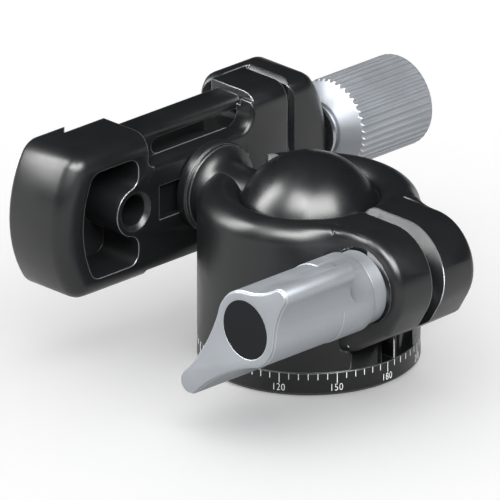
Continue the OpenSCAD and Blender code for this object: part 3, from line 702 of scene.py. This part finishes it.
FLOOR_SIZE = 6.0
FLOOR_DROP = 0.05 * MM                  # keeps the floor clear of the base's bottom face
FLOOR_LIFT = 0.18                       # light added where the floor is seen, up to white
SKY_LEVEL = 0.95                        # the surround's light on what it falls on
SKY_GLOSS = 0.01                        # and as the camera and glossy surfaces see it
LAMP_AIM = (0, 0, 0.02)
LAMP_DISTANCE = 0.5
LAMPS = (                               # name, azimuth, elevation, size and watts
    ("key", -112, 48, (0.46, 0.26), 6.6),
    ("left_strip", -164, 54, (0.20, 0.24), 2.8),
    ("back_strip", 134, 36, (0.18, 0.34), 3.4))
FRAME_PX = 500                          # the picture's sides
PX_PER_MM = 5.68                        # its scale at the ball
BALL_AT_PX = (311.2, 223.4)             # the ball's centre in it, from the upper left corner
CLIP_END = 10


class BALLHEAD_OT_stage(bpy.types.Operator):
    """Sets up the floor, the lamps and the camera"""

    bl_idname = "ball_head.stage"
    bl_label = "Stage"

    def execute(self, context):
        setup = context.scene.ball_head_stage
        spare_floor(make_lamps(), make_floor(setup))
        make_world(context.scene)
        make_camera(context.scene, setup)
        context.scene.view_settings.view_transform = "Standard"
        return {"FINISHED"}


def make_floor(setup):
    """A large pale floor. Rays from the camera, mirrors and glass see it a little brighter, which
    makes it white and keeps the shadow."""
    deselect()
    bpy.ops.mesh.primitive_plane_add(size=FLOOR_SIZE, location=(0, 0, -FLOOR_DROP))
    floor = bpy.context.object
    floor.name = "floor"
    material, tree = new_material("pale_paper")
    path = add_node(tree, "ShaderNodeLightPath").outputs
    direct = add_node(
        tree, "ShaderNodeMath", {"operation": "MAXIMUM"},
        {0: path["Is Camera Ray"], 1: path["Is Glossy Ray"]})
    seen = add_node(
        tree, "ShaderNodeMath", {"operation": "MAXIMUM"},
        {0: direct.outputs[0], 1: path["Is Transmission Ray"]})
    lift = add_node(
        tree, "ShaderNodeMath", {"operation": "MULTIPLY", 1: FLOOR_LIFT}, {0: seen.outputs[0]})
    paper = add_node(
        tree, "ShaderNodeBsdfPrincipled",
        {"Base Color": linear(setup.floor), "Roughness": 0.9, "Emission Color": (1, 1, 1, 1)},
        {"Emission Strength": lift.outputs[0]})
    add_node(tree, "ShaderNodeOutputMaterial", None, {"Surface": paper.outputs["BSDF"]})
    paint(material, floor)
    settle(floor)
    return floor


def make_lamps():
    """Rectangular soft lamps: a key over the front, a strip over the left and a strip behind on
    the left. All face the head."""
    lamps = []
    for name, azimuth, elevation, size, watts in LAMPS:
        az, el = math.radians(azimuth), math.radians(elevation)
        away = Vector((math.cos(az) * math.cos(el), math.sin(az) * math.cos(el), math.sin(el)))
        data = bpy.data.lights.new(name, "AREA")
        data.shape = "RECTANGLE"
        data.size, data.size_y = size
        data.energy = watts
        lamp = bpy.data.objects.new(name, data)
        bpy.context.scene.collection.objects.link(lamp)
        lamp.location = away * LAMP_DISTANCE
        lamp.rotation_euler = (Vector(LAMP_AIM) - lamp.location).to_track_quat("-Z", "Y").to_euler()
        lamps.append(lamp)
    return lamps


def spare_floor(lamps, floor):
    """Leaves the floor to the even surround, so that its shadow is soft and its white is even."""
    spared = bpy.data.collections.new("spared_floor")
    spared.objects.link(floor)
    spared.collection_objects[0].light_linking.link_state = "EXCLUDE"
    for lamp in lamps:
        lamp.light_linking.receiver_collection = spared


def make_world(scene):
    """An even surround that lights what it falls on and stays dark in gloss, as a studio's dark
    walls do."""
    world = bpy.data.worlds.new("studio")
    scene.world = world
    world.use_nodes = True
    tree = world.node_tree
    tree.nodes.clear()
    path = add_node(tree, "ShaderNodeLightPath")
    level = add_node(
        tree, "ShaderNodeMapRange", {"To Min": SKY_GLOSS, "To Max": SKY_LEVEL},
        {"Value": path.outputs["Is Diffuse Ray"]})
    sky = add_node(
        tree, "ShaderNodeBackground", {"Color": (1, 1, 1, 1)}, {"Strength": level.outputs["Result"]})
    add_node(tree, "ShaderNodeOutputWorld", None, {"Surface": sky.outputs["Background"]})


def make_camera(scene, setup):
    """A long lens that puts the ball's centre at its place in the frame."""
    az, el = setup.azimuth, setup.elevation
    right = Vector((math.cos(az), math.sin(az), 0))
    up = Vector((-math.sin(az) * math.sin(el), math.cos(az) * math.sin(el), math.cos(el)))
    back = right.cross(up)
    low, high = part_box("ball")
    to_right, down = ((FRAME_PX / 2 - at) / PX_PER_MM * MM for at in BALL_AT_PX)
    target = (low + high) / 2 + right * to_right - up * down
    data = bpy.data.cameras.new("camera")
    data.lens = setup.lens
    distance = data.lens / data.sensor_width * FRAME_PX / PX_PER_MM * MM
    camera = bpy.data.objects.new("camera", data)
    scene.collection.objects.link(camera)
    turn = Matrix((right, up, back)).transposed().to_4x4()
    camera.matrix_world = Matrix.Translation(target + back * distance) @ turn
    data.clip_end = CLIP_END
    scene.camera = camera


# ---- Add-on ----


class BALLHEAD_PT_sidebar(bpy.types.Panel):
    """Ball head tools in the sidebar"""

    bl_idname = "BALLHEAD_PT_sidebar"
    bl_label = "Ball head"
    bl_space_type = "VIEW_3D"
    bl_region_type = "UI"
    bl_category = "Ball head"

    def draw(self, context):
        for group_name in GROUPS:
            group = getattr(context.scene, group_name)
            for name in group.__annotations__:
                self.layout.prop(group, name)
        for operator in OPERATORS:
            self.layout.operator(operator.bl_idname)


OPERATORS = (
    BALLHEAD_OT_black_pieces, BALLHEAD_OT_silver_pieces, BALLHEAD_OT_inner_pieces,
    BALLHEAD_OT_scale_marks, BALLHEAD_OT_stage)
GROUPS = {
    "ball_head_finish": BallHeadFinish, "ball_head_scale": BallHeadScale,
    "ball_head_stage": BallHeadStage}


def register():
    for group in GROUPS.values():
        bpy.utils.register_class(group)
    for name, group in GROUPS.items():
        setattr(bpy.types.Scene, name, bpy.props.PointerProperty(type=group))
    for cls in (*OPERATORS, BALLHEAD_PT_sidebar):
        bpy.utils.register_class(cls)


def unregister():
    for cls in reversed((*OPERATORS, BALLHEAD_PT_sidebar)):
        bpy.utils.unregister_class(cls)
    for name, group in GROUPS.items():
        delattr(bpy.types.Scene, name)
        bpy.utils.unregister_class(group)


def main():
    register()
    bpy.ops.ball_head.black_pieces()
    bpy.ops.ball_head.silver_pieces()
    bpy.ops.ball_head.inner_pieces()
    bpy.ops.ball_head.scale_marks()
    bpy.ops.ball_head.stage()


if __name__ == "__main__":
    main()
